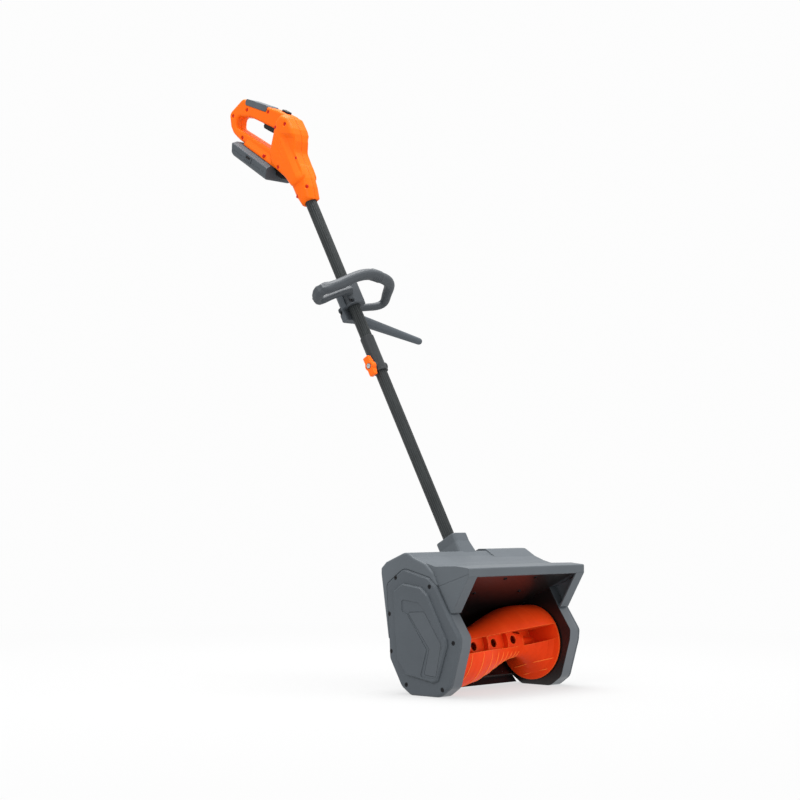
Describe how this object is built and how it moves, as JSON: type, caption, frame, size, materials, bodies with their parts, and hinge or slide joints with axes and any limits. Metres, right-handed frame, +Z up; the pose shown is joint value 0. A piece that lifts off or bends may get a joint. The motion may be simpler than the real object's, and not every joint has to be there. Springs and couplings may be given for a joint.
{
  "type": "snow blower",
  "caption": "Cordless snow blower: a powered auger in an open scoop on a two-piece tube with a loop handle, side barrier bar and battery grip.",
  "frame": {"origin": "on the ground, in the middle of the footprint of the whole machine", "axes": "+Z up; -Y out of the open scoop, in the direction of travel; +X to the side of the belt cover and the barrier bar"},
  "size_m": [0.38, 0.8327, 1.2534],
  "materials": {
    "housing_grey": "fine-grained moulded polypropylene, charcoal grey",
    "cover_grey": "fine-grained moulded polypropylene, charcoal grey",
    "insert_grey": "smooth charcoal grey plastic",
    "scraper_black": "black wear-resistant nylon",
    "rotor_orange": "satin orange-red nylon",
    "tube_dark": "dark powder coat, satin",
    "coupler_dark": "dark grey nylon sleeve",
    "knob_orange": "satin orange plastic",
    "loop_grey": "charcoal grey moulded handle with soft ribs",
    "handle_orange": "satin orange moulded nylon",
    "grip_grey": "charcoal soft grip",
    "battery_grey": "charcoal grey battery case",
    "control_black": "black moulded nylon",
    "screw_black": "black oxide",
    "steel": "zinc-plated steel",
    "motor_steel": "drawn steel can",
    "belt_rubber": "ribbed rubber",
    "pulley_plastic": "glass-filled nylon",
    "cell_metal": "wrapped cells",
    "cable_black": "two-core cable"
  },
  "bodies": {
    "chassis": {"auger_housing": "housing_grey", "top_housing": "housing_grey", "end_cover": "cover_grey", "belt_cover": "cover_grey", "end_insert": "insert_grey", "belt_insert": "insert_grey", "end_cover_screws": "screw_black", "belt_cover_screws": "screw_black", "hood_screws": "steel", "collar_screws": "screw_black", "scraper_blade": "scraper_black", "scraper_screws": "steel", "auger_bearings": "steel", "drive_belt": "belt_rubber", "motor_can": "motor_steel", "motor_cap": "control_black", "motor_bracket": "steel", "motor_screws": "steel", "lower_tube": "tube_dark", "coupler": "coupler_dark", "knob_nut": "steel", "upper_tube": "tube_dark", "loop_handle": "loop_grey", "loop_clamp": "loop_grey", "clamp_screws": "screw_black", "barrier_bar": "loop_grey", "barrier_screw": "screw_black", "handle_left": "handle_orange", "handle_right": "handle_orange", "grip_saddle": "grip_grey", "handle_screws": "screw_black", "trigger_pin": "steel", "power_switch": "control_black", "controller": "control_black", "terminals": "steel", "power_cable": "cable_black"},
    "auger_group": {"auger": "rotor_orange", "idle_shaft": "steel", "drive_shaft": "steel", "auger_pulley": "pulley_plastic"},
    "motor_group": {"motor_rotor": "motor_steel", "motor_pulley": "steel"},
    "knob_group": {"wing_knob": "knob_orange", "knob_bolt": "steel"},
    "trigger_body": {"trigger": "control_black"},
    "lock_body": {"lock_button": "control_black"},
    "battery": {"battery_case": "battery_grey", "battery_cells": "cell_metal"},
    "latch_left_body": {"battery_latch_left": "control_black"},
    "latch_right_body": {"battery_latch_right": "control_black"}
  },
  "joints": [
    {"name": "auger_spin", "type": "hinge", "parent": "chassis", "child": "auger_group", "pos_m": [0, -0.3048, 0.084], "axis": [1, 0, 0], "continuous": true},
    {"name": "motor_spin", "type": "hinge", "parent": "chassis", "child": "motor_group", "pos_m": [0, -0.2648, 0.21], "axis": [1, 0, 0], "continuous": true},
    {"name": "knob_turn", "type": "hinge", "parent": "chassis", "child": "knob_group", "pos_m": [0, -0.02494, 0.64083], "axis": [-1, 0, 0], "range_deg": [0, 720]},
    {"name": "trigger_pull", "type": "hinge", "parent": "chassis", "child": "trigger_body", "pos_m": [0, 0.30906, 1.19215], "axis": [-1, 0, 0], "range_deg": [0, 9], "stiffness_Nm_per_rad": 1, "springref_deg": -5.73},
    {"name": "lock_press", "type": "slide", "parent": "chassis", "child": "lock_body", "axis": [0, 0.4617, -0.887], "range_m": [0, 0.003], "stiffness_N_per_m": 1500, "springref_m": -0.001},
    {"name": "battery_slide", "type": "slide", "parent": "chassis", "child": "battery", "axis": [0, 0.8425, 0.5388], "range_m": [0, 0.125]},
    {"name": "latch_left_press", "type": "slide", "parent": "battery", "child": "latch_left_body", "axis": [1, 0, 0], "range_m": [0, 0.0025], "stiffness_N_per_m": 1500, "springref_m": -0.001},
    {"name": "latch_right_press", "type": "slide", "parent": "battery", "child": "latch_right_body", "axis": [-1, 0, 0], "range_m": [0, 0.0025], "stiffness_N_per_m": 1500, "springref_m": -0.001}
  ],
  "couplings": [
    {"joint": "motor_spin", "follows": "auger_spin", "ratio": 3.8182}
  ]
}
